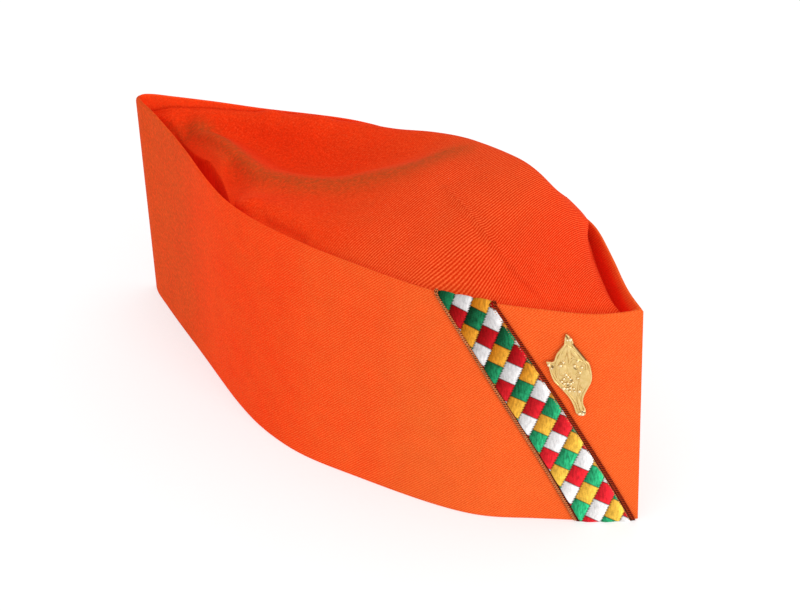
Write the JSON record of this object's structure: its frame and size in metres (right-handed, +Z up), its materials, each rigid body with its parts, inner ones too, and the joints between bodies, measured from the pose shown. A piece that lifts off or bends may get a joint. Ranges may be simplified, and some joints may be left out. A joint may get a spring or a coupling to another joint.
{
  "type": "pahadi cap",
  "caption": "Orange twill side cap with a free-standing band, a creased crown, a checked ribbon and a flower bud pin.",
  "frame": {"origin": "middle of the base, on the surface that the cap stands on", "axes": "+X to the cap's front tip, -Y to the side that carries the ribbon and the pin, +Z up"},
  "size_m": [0.2701, 0.1052, 0.1225],
  "materials": {
    "band_twill": "orange twill, slight sheen",
    "crown_twill": "orange twill, a little darker in the folds",
    "ribbon_weave": "satin checks in green, red, yellow and white",
    "badge_gold": "pale gold, cast relief",
    "clutch_metal": "plain"
  },
  "bodies": {
    "root": {"band": "band_twill", "crown": "crown_twill", "ribbon": "ribbon_weave", "badge": "badge_gold", "badge_clutch": "clutch_metal"}
  },
  "joints": []
}
